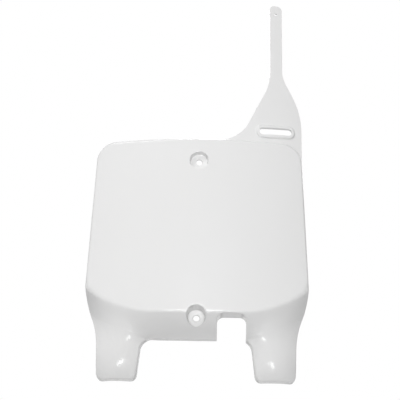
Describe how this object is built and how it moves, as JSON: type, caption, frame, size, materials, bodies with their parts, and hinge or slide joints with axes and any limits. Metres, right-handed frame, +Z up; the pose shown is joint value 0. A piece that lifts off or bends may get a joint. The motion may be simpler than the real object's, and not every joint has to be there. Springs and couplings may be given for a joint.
{
  "type": "motocross front number board",
  "caption": "Moulded plastic front number board for an off-road motorbike: bent blank face, bolt pockets, cable notch, fork shields and a bar strap that threads a slot.",
  "frame": {"origin": "centre of the upper bolt hole, on the seat face behind its pocket", "axes": "+X to the right as seen from the front, +Y to the rear along the bolts, +Z up towards the strap's tip"},
  "size_m": [0.2324, 0.063, 0.4248],
  "materials": {
    "white_plastic": "glossy moulded white polypropylene"
  },
  "bodies": {
    "root": {"number_board": "white_plastic"}
  },
  "joints": []
}
